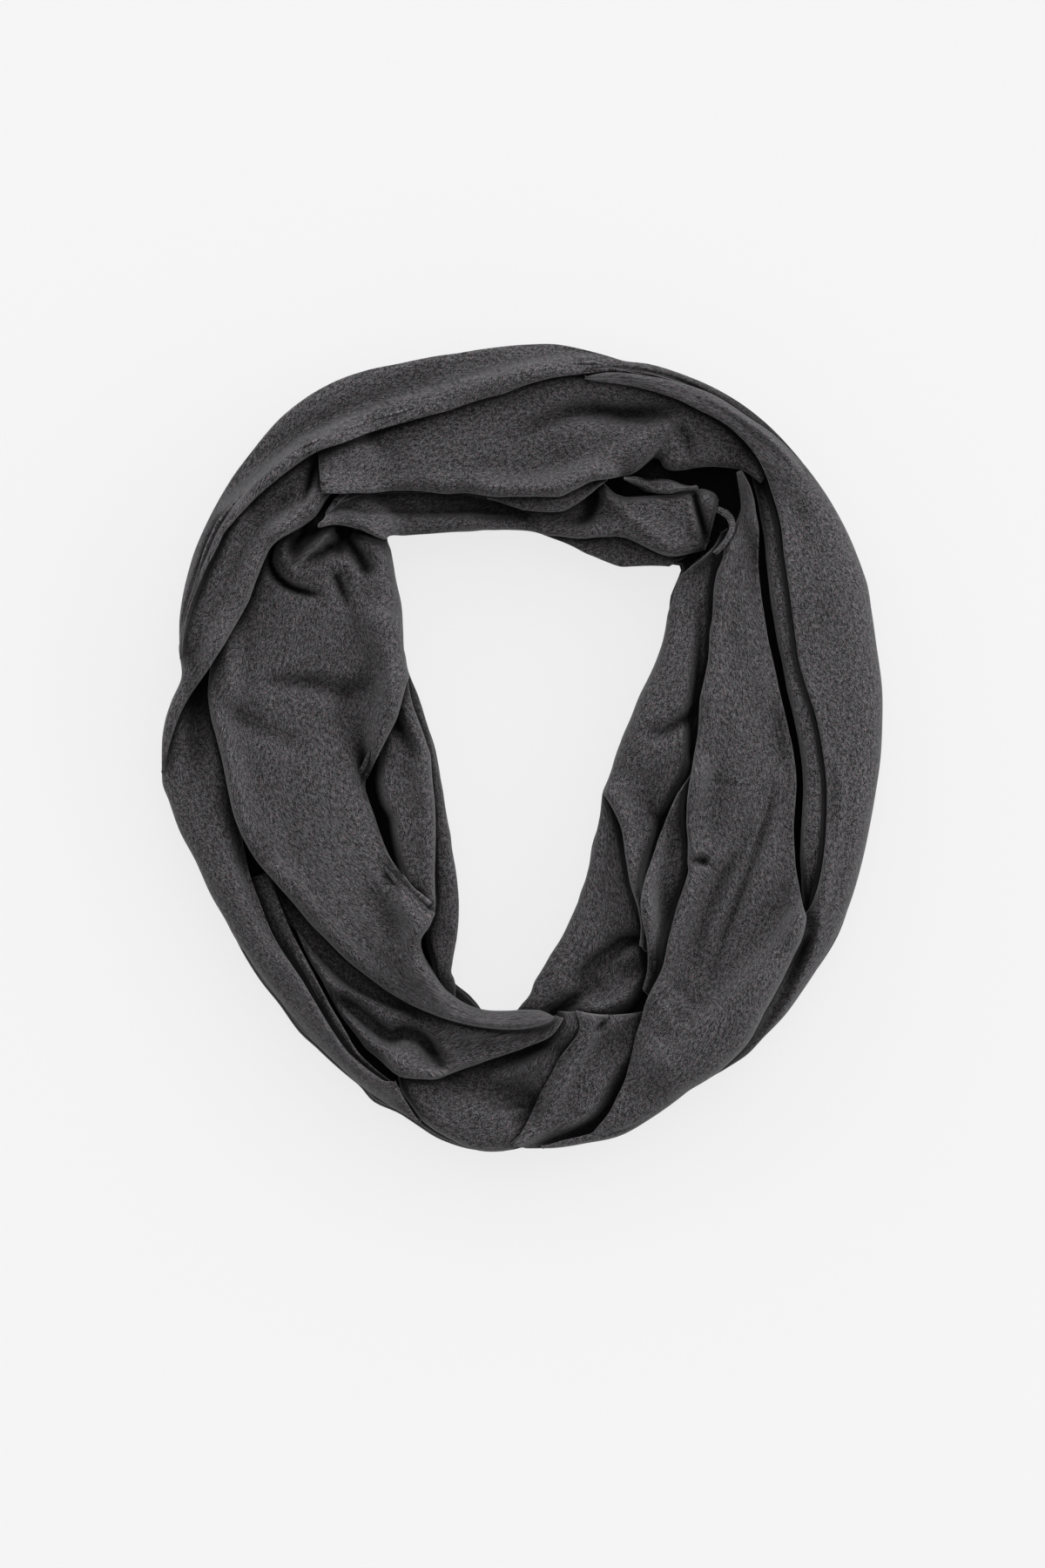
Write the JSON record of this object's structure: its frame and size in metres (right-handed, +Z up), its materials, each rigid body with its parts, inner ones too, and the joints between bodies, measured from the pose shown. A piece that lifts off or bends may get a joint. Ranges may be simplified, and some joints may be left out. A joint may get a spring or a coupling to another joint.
{
  "type": "infinity scarf",
  "caption": "Soft jersey infinity scarf, a closed tube of cloth wound twice into a ring and laid flat, with overlapping folded stretches and an open neck hole.",
  "frame": {"origin": "centre of the scarf's box in plan, on the surface it lies on", "axes": "+Z up from the surface, +Y along the ring's length towards the broad sweep of cloth, +X across the ring towards the long outer turn"},
  "size_m": [0.3638, 0.4086, 0.0415],
  "materials": {
    "jersey": "heathered charcoal cotton and viscose jersey, soft, matt, fine knit"
  },
  "bodies": {
    "root": {"hidden_layers": "jersey", "left_inner_edge": "jersey", "top_under_fold": "jersey", "right_lower_roll": "jersey", "left_inner_roll": "jersey", "bottom_panel": "jersey", "bottom_right_panel": "jersey", "lower_left_fold": "jersey", "left_strip": "jersey", "left_outer_band": "jersey", "left_upper_roll": "jersey", "left_front_panel": "jersey", "top_inner_band": "jersey", "top_second_fold": "jersey", "right_narrow_roll": "jersey", "top_front_panel": "jersey", "top_outer_sweep": "jersey", "right_outer_turn": "jersey", "right_inner_panel": "jersey", "right_middle_strip": "jersey", "right_front_panel": "jersey", "knot_ribbon": "jersey", "knot_loop": "jersey"}
  },
  "joints": []
}
